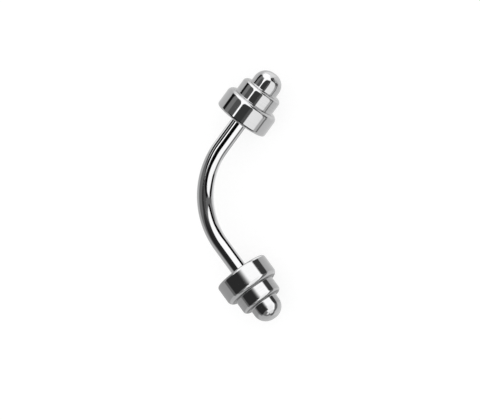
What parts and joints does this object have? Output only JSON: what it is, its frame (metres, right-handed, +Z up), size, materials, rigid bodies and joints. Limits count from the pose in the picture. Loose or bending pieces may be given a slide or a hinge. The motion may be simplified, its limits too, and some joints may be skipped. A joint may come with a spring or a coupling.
{
  "type": "eyebrow barbell",
  "caption": "Curved eyebrow barbell: a bent round steel bar with a turned, stepped and domed bead that screws off each end.",
  "frame": {"origin": "on the surface that it rests on, under the middle of its bounding box; it lies on its side, on the wide steps of both beads", "axes": "+X to the hollow side of the bend, where the bead tips point; +Y from bead to bead, towards the end that is at the top of the picture; +Z up from the surface, square to the plane of the bend"},
  "size_m": [0.006, 0.0176, 0.004],
  "materials": {
    "bar_steel": "surgical steel wire, drawn and mirror polished along its length",
    "bead_steel": "surgical steel, turned and mirror polished"
  },
  "bodies": {
    "bar": {"bar": "bar_steel"},
    "upper_bead": {"upper_bead": "bead_steel"},
    "lower_bead": {"lower_bead": "bead_steel"}
  },
  "joints": [
    {"name": "upper_bead_off", "type": "slide", "parent": "bar", "child": "upper_bead", "axis": [0.6018, 0.7986, 0], "range_m": [0, 0.0023]},
    {"name": "lower_bead_off", "type": "slide", "parent": "bar", "child": "lower_bead", "axis": [0.6018, -0.7986, 0], "range_m": [0, 0.0023]}
  ]
}
